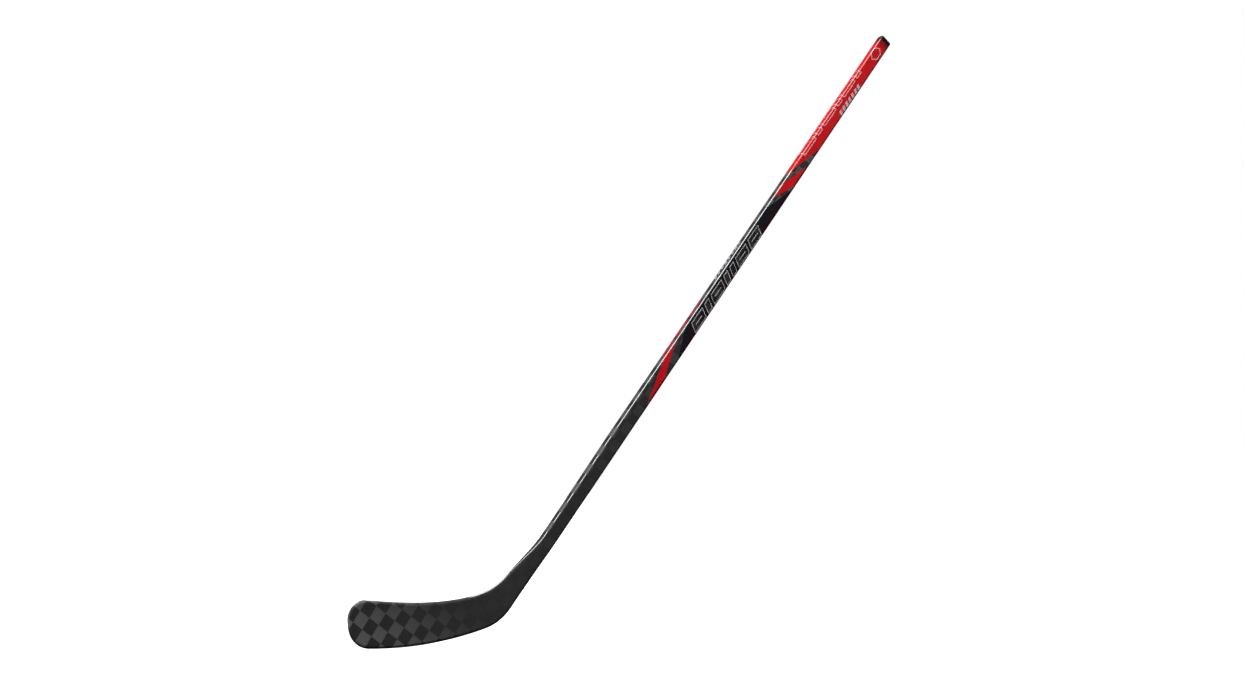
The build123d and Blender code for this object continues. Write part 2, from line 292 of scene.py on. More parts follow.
# where a face falls away towards its edge; share 0 is at the rounded edge and 1 on the flat
def crownColumn(rungs, end, share, side, level=None):
    outward, crown, lean = rungs[end + "Out"], rungs["crown"], leanOf(rungs)
    inset = rungs["round"] * (1 - np.sin(lean)) + crownWide * share
    base = rungs[end] - outward * inset[:, None]
    height = rungs["thick"] / 2 - crown * (1 - share) ** 2
    if level is not None:
        height = np.minimum(level, height - thinnest)
    slope = np.arctan(2 * crown * (1 - share) / crownWide)[:, None]
    facing = math.pi / 2 - slope if level is None else -math.pi / 2
    place, normal = toSpace(base, side * height, outward, facing, side)
    return place, normal, clothPlace(base, outward, 0)


# the middle of the rim, halfway between the two faces
def rimColumn(rungs, end):
    points, outward, corner = rungs[end], rungs[end + "Out"], rungs["round"]
    top = math.pi / 2 - leanOf(rungs)
    place, normal = toSpace(points, 0 * corner, outward, 0, 1)
    straight = rungs["thick"] / 2 - rungs["crown"] - corner * np.sin(top)
    return place, normal, clothPlace(points, outward, corner * (top - 1 + np.cos(top)) + straight)


def flatColumn(rungs, share, side, level=None):
    inset = (rungs["round"] * (1 - np.sin(leanOf(rungs))) + crownWide)[:, None]
    low, high = rungs["low"] - rungs["lowOut"] * inset, rungs["high"] - rungs["highOut"] * inset
    base = low * (1 - share) + high * share
    height = rungs["thick"] / 2 if level is None else level
    facing = math.pi / 2 if level is None else -math.pi / 2
    place, normal = toSpace(base, side * height, 0 * base, facing, side)
    return place, normal, clothPlace(base, 0 * base, 0)


# all the columns of one face, from its low edge to its high edge
def halfLoop(rungs, side, start=0, level=None):
    columns = [edgeColumn(rungs, "low", a, side, level) for a in cornerAngles[start:-1]]
    columns += [crownColumn(rungs, "low", share, side, level) for share in [0.0, *crownShares]]
    columns += [flatColumn(rungs, share, side, level) for share in flatShares]
    columns += [crownColumn(rungs, "high", share, side, level) for share in [*crownShares[::-1], 0.0]]
    return columns + [edgeColumn(rungs, "high", a, side, level) for a in cornerAngles[start:-1][::-1]]


def stackColumns(columns):
    return [np.stack([column[i] for column in columns], 1) for i in range(3)]


# closed loops all round the stick; where it tapers the normals lean with it
def wholeLoops(rungs):
    columns = [rimColumn(rungs, "low"), *halfLoop(rungs, -1)]
    columns += [rimColumn(rungs, "high"), *halfLoop(rungs, 1)[::-1]]
    points, normals, cloth = stackColumns(columns)
    if len(points) > 2:
        way = np.gradient(points, axis=0)
        way /= np.linalg.norm(way, axis=2, keepdims=True) + tiny
        normals = normals - way * np.sum(normals * way, axis=2, keepdims=True)
        normals /= np.linalg.norm(normals, axis=2, keepdims=True)
    return points, normals, cloth


meshing = {              # millimetres and degrees
    "weld": 0.002, "slimmest": 0.0005, "smooth": 35,
    "agree": 0.7,        # a corner keeps its own normal where its face agrees this well with it
}


# bmesh in millimetres to a finished piece in metres, with the true normals of its curves
def settle(bm, name, material):
    bmesh.ops.remove_doubles(bm, verts=bm.verts, dist=meshing["weld"])
    bmesh.ops.dissolve_degenerate(bm, edges=bm.edges, dist=meshing["slimmest"])
    bmesh.ops.recalc_face_normals(bm, faces=bm.faces)
    for face in bm.faces:
        face.smooth = True
    trueNormal = bm.verts.layers.float_vector["trueNormal"]
    bm.verts.index_update()
    known = [Vector(v[trueNormal]) for v in bm.verts]
    bm.verts.layers.float_vector.remove(trueNormal)
    bmesh.ops.scale(bm, vec=(mm, mm, mm), verts=bm.verts)
    mesh = bpy.data.meshes.new(name)
    bm.to_mesh(mesh)
    bm.free()
    mesh.set_sharp_from_angle(angle=math.radians(meshing["smooth"]))
    split = []
    for face in mesh.polygons:
        for corner in face.vertices:
            fits = known[corner].dot(face.normal) > meshing["agree"]
            split.append(known[corner] if fits else Vector((0, 0, 0)))
    mesh.normals_split_custom_set(split)
    mesh.materials.append(material)
    piece = bpy.data.objects.new(name, mesh)
    bpy.context.scene.collection.objects.link(piece)
    return piece


# a skin through rows of closed loops
def sweepPiece(name, material, rows, normals=None, cloth=None, ring=False, caps=(True, True)):
    bm = bmesh.new()
    trueNormal = bm.verts.layers.float_vector.new("trueNormal")
    weave = bm.loops.layers.uv.new("weave")
    count, across = rows.shape[:2]
    verts, places = [], {}
    for i in range(count):
        verts.append([bm.verts.new(rows[i, j]) for j in range(across)])
        for j in range(across):
            verts[i][j][trueNormal] = normals[i, j] if normals is not None else (0, 0, 0)
            places[verts[i][j]] = cloth[i, j] * mm if cloth is not None else (0, 0)
    for i in range(count if ring else count - 1):
        for j in range(across):
            after, beside = (i + 1) % count, (j + 1) % across
            bm.faces.new([verts[i][j], verts[i][beside], verts[after][beside], verts[after][j]])
    for wanted, row in zip(caps, (verts[0], verts[-1])):
        if wanted and not ring:
            bm.faces.new(row)
    for face in bm.faces:
        for loop in face.loops:
            loop[weave].uv = places[loop.vert]
    return settle(bm, name, material)


# an open tube with a wall: the outer skin and, back down inside, the inner one
def tubePiece(name, material, rungs, wall):
    points, normals, cloth = wholeLoops(rungs)
    inner = points - normals * wall
    rows = np.concatenate([points, inner[::-1]])
    normals = np.concatenate([normals, -normals[::-1]])
    cloth = np.concatenate([cloth, cloth[::-1]])
    return sweepPiece(name, material, rows, normals, cloth, ring=True)


def install(piece, body, slot, *nodes):
    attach(piece, body)
    if nodes:
        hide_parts(*nodes)
    return piece


def linear(hexCode, alpha=1.0):
    parts = [int(hexCode[i:i + 2], 16) / 255 for i in (1, 3, 5)]
    return [c / 12.92 if c <= 0.04045 else ((c + 0.055) / 1.055) ** 2.4 for c in parts] + [alpha]


def addNode(tree, kind, inputs=None, output=0, **settings):
    node = tree.nodes.new("ShaderNode" + kind)
    for key, value in settings.items():
        setattr(node, key, value)
    for key, value in (inputs or {}).items():
        if isinstance(value, bpy.types.NodeSocket):
            tree.links.new(value, node.inputs[key])
        else:
            node.inputs[key].default_value = value
    return node.outputs[output] if node.outputs else node


def newFinish(name):
    material = bpy.data.materials.new(name)
    material.use_nodes = True
    material.node_tree.nodes.clear()
    return material, material.node_tree


def closeFinish(tree, inputs):
    shader = addNode(tree, "BsdfPrincipled", inputs)
    addNode(tree, "OutputMaterial", {"Surface": shader})


colourMix = {"output": 2, "data_type": "RGBA"}       # a Mix node's colours are inputs 6 and 7
noiseRange = {1: 0.3, 2: 0.7}                        # most of a fine noise lies between these
grainRange = {1: 0.2, 2: 0.8}
fabric = {               # millimetres; the squares' start is counted in squares along the shaft
    "towWide": 21.163, "alongStart": 5.828, "acrossStart": 1.1, "narrowSheenFade": 3,
    "streak": 0.7, "streakLong": 22, "streakNoise": {"Scale": 1.0, "Detail": 3.0, "Roughness": 0.6},
    "tone": {3: 0.78, 4: 1.22}, "bump": 0.2, "bumpDeep": 0.01,
    "finish": {"Coat Roughness": 0.08, "Coat IOR": 2.2, "IOR": 1.5},
}


# which square of the spread-tow checker: 0 where the fibres run along the shaft, 1 across it
def checkerSquare(tree, cloth):
    tow = fabric["towWide"]
    start = (-fabric["alongStart"], fabric["acrossStart"] / tow, 0)
    cell = addNode(tree, "VectorMath", {0: cloth, 1: (1 / (tow * mm),) * 3, 2: start},
                   operation="MULTIPLY_ADD")
    whole = addNode(tree, "VectorMath", {0: cell}, operation="FLOOR")
    apart = addNode(tree, "SeparateXYZ", {0: whole}).node
    total = addNode(tree, "Math", {0: apart.outputs[0], 1: apart.outputs[1]}, operation="ADD")
    return addNode(tree, "Math", {0: total, 1: 2.0}, operation="FLOORED_MODULO")


# fine fibre streaks, drawn far coarser than the 7 micron filaments, which are too fine to show
def fibreStreaks(tree, cloth, square):
    fine, long = 1 / (fabric["streak"] * mm), 1 / (fabric["streakLong"] * mm)
    lengthwise = addNode(tree, "VectorMath", {0: cloth, 1: (long, fine, 0)}, operation="MULTIPLY")
    crosswise = addNode(tree, "VectorMath", {0: cloth, 1: (fine, long, 0)}, operation="MULTIPLY")
    first = addNode(tree, "TexNoise", {"Vector": lengthwise, **fabric["streakNoise"]})
    second = addNode(tree, "TexNoise", {"Vector": crosswise, **fabric["streakNoise"]})
    return addNode(tree, "Mix", {0: square, 2: first, 3: second})


# a soft change from one value to another between two places along the cloth or across it
def alongCloth(tree, cloth, axis, start, end, low=0.0, high=1.0):
    place = addNode(tree, "SeparateXYZ", {0: cloth}, output=axis)
    return addNode(tree, "MapRange", {0: place, 1: start * mm, 2: end * mm, 3: low, 4: high},
                   interpolation_type="SMOOTHSTEP")


# clear-coated spread-tow carbon: flat tape squares whose fibres turn by a right angle, so one row
# looks grey and silky and the next black and glossy; the grey is partly painted sheen, as the real
# tapes differ mostly in how they reflect
def spreadTowCarbon(name, look):
    material, tree = newFinish(name)
    cloth = addNode(tree, "UVMap", uv_map="weave")
    square = checkerSquare(tree, cloth)
    streaks = fibreStreaks(tree, cloth, square)
    # the light squares fading to dark along the stick: partly the fabric's own contrast, partly a painted
    # fading of their sheen and of the light on them
    fadeAndSheen = alongCloth(tree, cloth, 0, *look["contrastAndSheenFade"])
    # on the narrow side the squares keep their full contrast: painted sheen, where the light falls more
    # strongly than on the faces
    if "narrowSheenFrom" in look:
        start = look["narrowSheenFrom"]
        narrow = alongCloth(tree, cloth, 1, start, start + fabric["narrowSheenFade"], 1.0, 0.0)
        fadeAndSheen = addNode(tree, "Math", {0: fadeAndSheen, 1: narrow}, operation="MULTIPLY")
    share = addNode(tree, "Math", {0: square, 1: fadeAndSheen}, operation="MAXIMUM")
    tone = addNode(tree, "MapRange", {0: streaks, **noiseRange, **fabric["tone"]})
    colour = {0: share, 6: linear(look["light"]), 7: linear(look["dark"])}
    colour = addNode(tree, "Mix", colour, **colourMix)
    colour = addNode(tree, "VectorMath", {0: colour, 1: tone}, operation="MULTIPLY")
    silky = alongCloth(tree, cloth, 0, *look["silky"])
    roughness = addNode(tree, "Mix", {0: share, 2: silky, 3: look["glossy"]})
    gleam = alongCloth(tree, cloth, 0, *look["gleam"])
    coat = addNode(tree, "Mix", {0: share, 2: gleam, 3: look["coat"]})
    bump = addNode(tree, "Bump", {"Height": streaks, "Strength": fabric["bump"],
                                  "Distance": fabric["bumpDeep"] * mm})
    closeFinish(tree, {"Base Color": colour, "Roughness": roughness, "Normal": bump,
                       "Coat Weight": coat, **fabric["finish"]})
    return material


paint = {                # millimetres for sizes
    "peel": 1.6, "peelBump": 0.15, "peelDeep": 0.006, "cloud": 35, "tone": {3: 0.94, 4: 1.05},
    # the last two: how far from the cap, in millimetres, and how deep the painted shade near the cap runs
    "squares": -0.04, "roughLess": 0.04, "roughMore": 0.05, "capShadeLong": 24, "capShade": 0.75,
    "finish": {"Coat Roughness": 0.1, "Coat IOR": 1.7, "IOR": 1.5},
}


# pigmented lacquer over the carbon: even colour, a little orange peel, the tape squares just
# showing through it; towards the back edge it turns to a second colour, the panel's own maroon tint
# and painted shade on the red films, and near the cap it darkens with painted shade
def lacquer(name, hexCode, tintAndShadeHex, tintAndShadeFrom, tintAndShadeTo, roughness=0.32, coat=0.6):
    material, tree = newFinish(name)
    cloth = addNode(tree, "UVMap", uv_map="weave")
    square = checkerSquare(tree, cloth)
    peel = addNode(tree, "TexNoise", {"Vector": cloth, "Scale": 1 / (paint["peel"] * mm), "Detail": 2.0})
    cloud = addNode(tree, "TexNoise", {"Vector": cloth, "Scale": 1 / (paint["cloud"] * mm), "Detail": 3.0})
    # towards the back edge: the panel's own maroon tint, painted shade on the red films
    tintAndShade = alongCloth(tree, cloth, 1, tintAndShadeFrom, tintAndShadeTo)
    colour = addNode(tree, "Mix", {0: tintAndShade, 6: linear(hexCode), 7: linear(tintAndShadeHex)}, **colourMix)
    # painted shade: the lacquer darkens towards the cap
    capShadeFrom = shaft["capAt"] - paint["capShadeLong"]
    capShadow = alongCloth(tree, cloth, 0, capShadeFrom, shaft["capAt"], 0.0, paint["capShade"])
    colour = addNode(tree, "Mix", {0: capShadow, 6: colour, 7: linear(tintAndShadeHex)}, **colourMix)
    shade = addNode(tree, "MapRange", {0: cloud, **noiseRange, **paint["tone"]})
    shade = addNode(tree, "Math", {0: square, 1: paint["squares"], 2: shade}, operation="MULTIPLY_ADD")
    colour = addNode(tree, "VectorMath", {0: colour, 1: shade}, operation="MULTIPLY")
    bump = addNode(tree, "Bump", {"Height": peel, "Strength": paint["peelBump"],
                                  "Distance": paint["peelDeep"] * mm})
    rough = addNode(tree, "MapRange", {0: cloud, **noiseRange, 3: roughness - paint["roughLess"],
                                       4: roughness + paint["roughMore"]})
    closeFinish(tree, {"Base Color": colour, "Roughness": rough, "Normal": bump, "Coat Weight": coat,
                       **paint["finish"]})
    return material


ink = {                  # millimetres for sizes
    "mesh": 0.5, "tone": {3: 0.88, 4: 1.08}, "bump": 0.15, "bumpDeep": 0.005,
    "finish": {"Metallic": 0.0, "Coat Weight": 0.4, "Coat Roughness": 0.15},
}


# screen-printed ink: thin and even, with the mesh's faint grain
def printedInk(name, hexCode, roughness):
    material, tree = newFinish(name)
    cloth = addNode(tree, "UVMap", uv_map="weave")
    grain = addNode(tree, "TexNoise", {"Vector": cloth, "Scale": 1 / (ink["mesh"] * mm), "Detail": 2.0})
    shade = addNode(tree, "MapRange", {0: grain, **noiseRange, **ink["tone"]})
    colour = addNode(tree, "VectorMath", {0: linear(hexCode)[:3], 1: shade}, operation="MULTIPLY")
    bump = addNode(tree, "Bump", {"Height": grain, "Strength": ink["bump"],
                                  "Distance": ink["bumpDeep"] * mm})
    closeFinish(tree, {"Base Color": colour, "Roughness": roughness, "Normal": bump, **ink["finish"]})
    return material


grainBump = 0.4          # the bump's strength on moulded parts
grainRough = 0.06        # how far their roughness varies with the grain


# moulded parts: a base colour, a grain of a real size in millimetres and a soft bump
def mouldedFinish(name, hexCode, grainMm, contrast, roughness, bumpMm, kind="TexNoise"):
    material, tree = newFinish(name)
    place = addNode(tree, "TexCoord", output="Object")
    grain = addNode(tree, kind, {"Vector": place, "Scale": 1 / (grainMm * mm)})
    shade = addNode(tree, "MapRange", {0: grain, **grainRange, 3: 1 - contrast, 4: 1 + contrast})
    colour = addNode(tree, "VectorMath", {0: linear(hexCode)[:3], 1: shade}, operation="MULTIPLY")
    bump = addNode(tree, "Bump", {"Height": grain, "Strength": grainBump, "Distance": bumpMm * mm})
    rough = addNode(tree, "MapRange", {0: grain, **grainRange, 3: roughness - grainRough,
                                       4: roughness + grainRough})
    closeFinish(tree, {"Base Color": colour, "Roughness": rough, "Normal": bump})
    return material


# the fade is how far the light squares turn dark, partly the fabric's own contrast and partly a painted
# fading of their sheen; silky and gleam are their roughness and coat; each is two places in millimetres
# along the shaft and then the value at each of them
bladeCarbon = spreadTowCarbon("clearCoatedBladeCarbon", {
    "light": "#7b7a7a", "dark": "#403f3f", "contrastAndSheenFade": (-170, 10, 0.0, 0.95), "silky": (0, 1, 0.5, 0.5),
    "glossy": 0.3, "gleam": (0, 1, 0.1, 0.1), "coat": 0.8})
# past girth 23, on the narrow side, the shaft's squares keep their full contrast: painted sheen
shaftCarbon = spreadTowCarbon("clearCoatedShaftCarbon", {
    "light": "#636263", "dark": "#3a3a3a", "contrastAndSheenFade": (180, 1050, 0.95, 0.1), "silky": (400, 480, 0.55, 0.3),
    "glossy": 0.25, "gleam": (400, 480, 0.05, 0.9), "coat": 0.9, "narrowSheenFrom": 23})
fillCarbon = spreadTowCarbon("lacqueredPanelCarbon", {
    "light": "#333637", "dark": "#1e2021", "contrastAndSheenFade": (180, 1050, 0.0, 0.0), "silky": (0, 1, 0.35, 0.35),
    "glossy": 0.2, "gleam": (0, 1, 0.8, 0.8), "coat": 0.8})
# the edge bands' darker greys are partly painted shade, for the dark line along the sole
edgeCarbon = spreadTowCarbon("wrappedEdgeCarbon", {
    "light": "#4a4a4b", "dark": "#262627", "contrastAndSheenFade": (-170, 20, 0.0, 0.9), "silky": (0, 1, 0.3, 0.3),
    "glossy": 0.2, "gleam": (0, 1, 0.9, 0.9), "coat": 0.9})
# the second colour and its girths: the panel's own maroon tint, and painted shade at the back edge of the red
# films
panelLacquer = lacquer("blueBlackPanelLacquer", "#141d23", "#2a0f1a", 22, 2)
redLacquer = lacquer("clearCoatedRedLacquer", "#f0141e", "#160a0c", 6, 3, coat=0.8)
gripLacquer = lacquer("softTouchRedLacquer", "#e61019", "#200305", 5, 0, roughness=0.45, coat=0.6)
silverInk = printedInk("silverPrintedInk", "#d4cace", 0.35)
gripInk = printedInk("paleGripInk", "#e6cdd1", 0.35)
whiteInk = printedInk("whitePrintedInk", "#d8cdd0", 0.4)
moulded = mouldedFinish("mouldedAbs", "#0d0d0e", 0.45, 0.25, 0.42, 0.03)
innerCarbon = mouldedFinish("mouldedInnerCarbon", "#202022", 1.2, 0.3, 0.4, 0.03)
coreFoam = mouldedFinish("closedCellFoam", "#d8cba6", 0.9, 0.2, 0.85, 0.2, kind="TexVoronoi")
epoxy = mouldedFinish("curedEpoxy", "#b58b45", 3.0, 0.12, 0.25, 0.05)
print("materials made:", len(bpy.data.materials))


# the rounded edge between the two skins, from the face on side to the other one
def edgeWrap(rows, end, side):
    angles = cornerAngles[:skinStep + 1]
    columns = [edgeColumn(rows, end, a, side) for a in angles[::-1]]
    return columns + [rimColumn(rows, end)] + [edgeColumn(rows, end, a, -side) for a in angles]


def bandPiece(name, rows, node):
    half = blade["thick"] / 2 - blade["skin"]
    columns = edgeWrap(rows, "low", -1)
    inner = rows["low"] - rows["lowOut"] * blade["band"]
    for side in (1, -1):
        place, normal = toSpace(inner, side * half, rows["lowOut"], math.pi / 2, side)
        columns.append((place, normal * 0, clothPlace(inner, rows["lowOut"], 0)))
    points, normals, cloth = stackColumns(columns)
    piece = sweepPiece(name, edgeCarbon, points, normals, cloth)
    return install(piece, "stick", "edge_carbon", node)


# some of the rungs, with one of their two ends
def rowsOf(rungs, end, chosen):
    rows = {key: rungs[key][chosen] for key in ("thick", "round", "crown")}
    return {"low": rungs[end][chosen], "lowOut": rungs[end + "Out"][chosen], **rows}


def joinRows(first, second):
    return {key: np.concatenate([first[key], second[key]]) for key in first}


def buildBlade():
    rungs = bladeRungs()
    half = blade["thick"] / 2 - blade["skin"]
    for name, node, side in (("forehandSkin", "forehand_skin", -1),
                             ("backhandSkin", "backhand_skin", 1)):
        outer = halfLoop(rungs, side, skinStep)
        inner = halfLoop(rungs, side, skinStep, level=np.full(blade["rungs"], half))[1:-1]
        points, normals, cloth = stackColumns(outer + inner[::-1])
        piece = sweepPiece(name, bladeCarbon, points, normals, cloth, caps=(False, True))
        install(piece, "stick", "carbon_blade", node)
    index = np.arange(blade["rungs"])
    pastMiddle = index > len(index) / 2
    split, blockFrom = {}, 0
    for end in ("low", "high"):
        at = (rungs[end] - heel[[0, 2]]) @ shaftUp[[0, 2]]
        split[end] = np.argmax(rungs[end][:, 0] > blade["bandSplit"])
        blockFrom = max(blockFrom, np.argmax((at > blade["heelBlockAt"]) & pastMiddle))
    toeHigh = rowsOf(rungs, "high", index[split["high"]:0:-1])
    toeLow = rowsOf(rungs, "low", index[:split["low"] + 1])
    bandPiece("toeEdgeBand", joinRows(toeHigh, toeLow), "toe_edge_band")
    sole = rowsOf(rungs, "low", index[split["low"]:blockFrom + 1])
    bandPiece("soleEdgeBand", sole, "sole_edge_band")
    top = rowsOf(rungs, "high", index[split["high"]:blockFrom + 1])
    bandPiece("topEdgeBand", top, "top_edge_band")
    block = {key: rungs[key][blockFrom:] for key in rungs}
    points, normals, cloth = stackColumns(edgeWrap(block, "low", 1) + edgeWrap(block, "high", -1))
    install(sweepPiece("heelBlock", edgeCarbon, points, normals, cloth), "stick", "edge_carbon", "heel_block")


def buildShaft():
    piece = tubePiece("hoselShell", bladeCarbon, hoselRungs(), hosel["wall"])
    install(piece, "stick", "carbon_blade", "hosel_shell")
    neck = np.linspace(shaft["hoselTopAt"], shaft["neckTopAt"], shaft["neckRungs"])
    body = np.linspace(shaft["bodyFrom"], shaft["capAt"], shaft["bodyRungs"])
    rungs = shaftRungs(np.concatenate([neck, body]))
    piece = tubePiece("shaftTube", shaftCarbon, rungs, shaft["wall"])
    install(piece, "stick", "carbon_shaft", "shaft_tube")


buildBlade()
buildShaft()
print("blade and shaft built")


plug = {                 # millimetres: pairs of station and distance in from the tube's outside
    "hollow": [(1510.5, 4.4), (1475.6, 4.35)],
    "mouth": [(1475.0, 3.9), (1475.0, 2.6), (1476.2, 2.0)],
    "ribs": [1481, 1488, 1495, 1502], "ribHalf": 1.0, "ribFlank": 0.6, "ribIn": 1.85, "valleyIn": 2.3,
    "neck": [(1508.0, 1.95), (1512.8, 1.95), (1513.0, 1.7)],
    "cap": [(1513.0, 0.4), (1513.25, 0.08), (1513.6, 0.0), (1522.4, 0.0)],
    "edge": 1.6, "edgeAngles": [15, 30, 45, 60, 75, 90],
    "recess": [(1524.0, 4.2), (1523.5, 4.6), (1523.5, 9.3)],
}


def buildPlug():
    outline = plug["hollow"] + plug["mouth"]
    half, low, high = plug["ribHalf"], plug["valleyIn"], plug["ribIn"]
    foot = half + plug["ribFlank"]
    for at in plug["ribs"]:
        outline += [(at - foot, low), (at - half, high), (at + half, high), (at + foot, low)]
    outline += plug["neck"] + plug["cap"]
    for angle in np.radians(plug["edgeAngles"]):
        inset = plug["edge"] * (1 - math.cos(angle))
        outline.append((shaft["buttAt"] - plug["edge"] * (1 - math.sin(angle)), inset))
    outline += plug["recess"]
    at, inset = np.array(outline).T
    points, _, cloth = wholeLoops(shaftRungs(at, inset))
    install(sweepPiece("endPlug", moulded, points, None, cloth), "plug", "plug_black", "end_plug")


buildPlug()
print("end plug built")


# girth is the way round the shaft from its back edge, over the forehand face and on round
flatWide = shaft["wide"] - 2 * shaft["round"]
flatThick = shaft["thick"] - 2 * shaft["round"]
cornerLong = shaft["round"] * math.pi / 2
flatEnd = shaft["wide"] - shaft["round"]
topMiddle = flatEnd + cornerLong + flatThick / 2     # girth to the middle of the upper narrow side
film = 0.12              # millimetres, the thickness of a decal
fillThick = film / 2
faceFilms = {            # stations along the shaft and rise from the back edge, on both wide faces
    "lowerFlash": [(470, 0.3), (539, 0.3), (625, 26.6), (587, 26.6)],
    "upperFlash": [(1086, 0.3), (1148, 0.3), (1059, 26.6), (1017, 26.6)],
    "panel": [(596, 0.3), (1076, 0.3), (988, 26.6), (662, 26.6)],
}
gripZone = {"edge": [(1193, 0), (1193, 0.1), (1092, 28), (1079, 32)], "rungs": 24}   # station and rise
bars = {                 # low and high are girths, as in all the rows below
    "at": 670, "long": [42, 16, 42, 16, 16, 42, 42], "gap": 8, "low": 3, "high": 22, "lean": 10,
    "stroke": 1.5, "lineInset": 9,
}
gripBars = {
    "at": 1146, "long": [52, 20, 52, 20, 52, 20], "gap": 9, "low": 20.8, "high": 40.6, "lean": 0,
    "stroke": 1.8,
}
dashes = {
    "at": 590, "pitch": 25.5, "count": 5, "long": 18, "lean": 0,
    "low": topMiddle - 4.2, "high": topMiddle + 4.2, "tail": 24, "tip": 1,
}
ticks = {
    "at": 789, "pitch": 13.6, "count": 8, "long": 8, "lean": 3,
    "low": topMiddle - 2.5, "high": topMiddle + 2.5,
}
gripTicks = {"at": 1286, "pitch": 13.6, "count": 7, "long": 8, "low": 3.5, "high": 12.5, "lean": 4}
badge = {"at": 1472, "half": 19, "middle": 17.7, "tall": 10.5, "stroke": 1.8, "tipStroke": 1.2}


def girthOf(rise):
    corner = shaft["round"]
    if rise < corner:
        return corner * (1 - math.asin((corner - rise) / corner))
    if rise > flatEnd:
        return flatEnd + corner * math.asin((rise - flatEnd) / corner)
    return rise


# the place and the normal at a station and girth, lifted off the shaft; a corner's leg has no way
def onShaft(at, girth, lift):
    corner, wide, half = shaft["round"], shaft["wide"], shaft["thick"] / 2
    legs = [
        (flatWide, (corner, -half), (1, 0), (0, -1)),
        (cornerLong, (flatEnd, corner - half), None, (0, -1)),
        (flatThick, (wide, corner - half), (0, 1), (1, 0)),
        (cornerLong, (flatEnd, half - corner), None, (1, 0)),
        (flatWide, (flatEnd, half), (-1, 0), (0, 1)),
        (cornerLong, (corner, half - corner), None, (0, 1)),
        (flatThick, (0, half - corner), (0, -1), (-1, 0)),
        (cornerLong, (corner, corner - half), None, (-1, 0)),
    ]
    rest = (girth - corner) % sum(leg[0] for leg in legs)
    for long, start, way, out in legs:
        if rest <= long + tiny:
            break
        rest -= long
    if way is None:
        c, s = math.cos(rest / corner), math.sin(rest / corner)
        out = (out[0] * c - out[1] * s, out[0] * s + out[1] * c)
        rise, y = start[0] + out[0] * (corner + lift), start[1] + out[1] * (corner + lift)
    else:
        rise, y = start[0] + way[0] * rest + out[0] * lift, start[1] + way[1] * rest + out[1] * lift
    point = heel + shaftUp * at + sideUp * rise + np.array([0, shaftY + y, 0])
    return point, sideUp * out[0] + np.array([0, out[1], 0])


# one thin film piece from flat shapes drawn in stations and girth
def filmPiece(name, material, shapes, layer=0, thick=film):
    flat = bmesh.new()
    for shape in shapes:
        if isinstance(shape, tuple):
            outer, inner = ([flat.verts.new((*p, 0)) for p in loop] for loop in shape)
            for i in range(len(outer)):
                j = (i + 1) % len(outer)
                flat.faces.new([outer[i], outer[j], inner[j], inner[i]])
        else:
            flat.faces.new([flat.verts.new((*p, 0)) for p in shape])
    corner = shaft["round"]
    for start in (corner - cornerLong, flatEnd, topMiddle + flatThick / 2, 2 * topMiddle - corner):
        for angle in cornerAngles:
            cut = flat.verts[:] + flat.edges[:] + flat.faces[:]
            line = (0, start + corner * angle, 0)
            bmesh.ops.bisect_plane(flat, geom=cut, plane_co=line, plane_no=(0, 1, 0))
    flat.verts.index_update()
    bm = bmesh.new()
    trueNormal = bm.verts.layers.float_vector.new("trueNormal")
    weave = bm.loops.layers.uv.new("weave")
    sheets, places = [], {}
    for lift in (film * layer, film * layer + thick):
        sheet = []
        for v in flat.verts:
            point, normal = onShaft(v.co.x, v.co.y, lift)
            sheet.append(bm.verts.new(point))
            sheet[-1][trueNormal] = normal
            girth = v.co.y if v.co.y < topMiddle else 2 * topMiddle - v.co.y
            places[sheet[-1]] = (v.co.x * mm, girth * mm)
        sheets.append(sheet)
    for face in flat.faces:
        for sheet in sheets:
            bm.faces.new([sheet[v.index] for v in face.verts])
    for edge in flat.edges:
        if len(edge.link_faces) == 1:
            a, b = (v.index for v in edge.verts)
            bm.faces.new([sheets[0][a], sheets[0][b], sheets[1][b], sheets[1][a]])
    flat.free()
    for face in bm.faces:
        for loop in face.loops:
            loop[weave].uv = places[loop.vert]
    return settle(bm, name, material)


# the same shape on the backhand face
def otherFace(shape):
    if isinstance(shape, tuple):
        return tuple(otherFace(loop) for loop in shape)
    return [(at, 2 * topMiddle - girth) for at, girth in shape]


def slanted(at, long, low, high, lean):
    return [(at, low), (at + long, low), (at + long + lean, high), (at + lean, high)]


def slantedRow(row):
    return [slanted(row["at"] + i * row["pitch"], row["long"], row["low"], row["high"], row["lean"])
            for i in range(row["count"])]


def framed(at, long, low, high, lean, stroke):
    shift = lean * stroke / (high - low)
    inner = slanted(at + stroke + shift, long - 2 * stroke, low + stroke, high - stroke, lean - 2 * shift)
    return slanted(at, long, low, high, lean), inner


# a row of slanted frames, with a line inside each long one, and the areas that they enclose
def barRow(row):
    at, frames, fills = row["at"], [], []
    low, high, lean = row["low"], row["high"], row["lean"]
    for long in row["long"]:
        frames.append(framed(at, long, low, high, lean, row["stroke"]))
        fills.append(slanted(at, long, low, high, lean))
        if "lineInset" in row and long > high - low:
            inset, middle, half = row["lineInset"], (low + high) / 2, row["stroke"] / 2
            frames.append(slanted(at + inset + lean / 2, long - 2 * inset, middle - half, middle + half, 0))
        at += long + row["gap"]
    return frames, fills


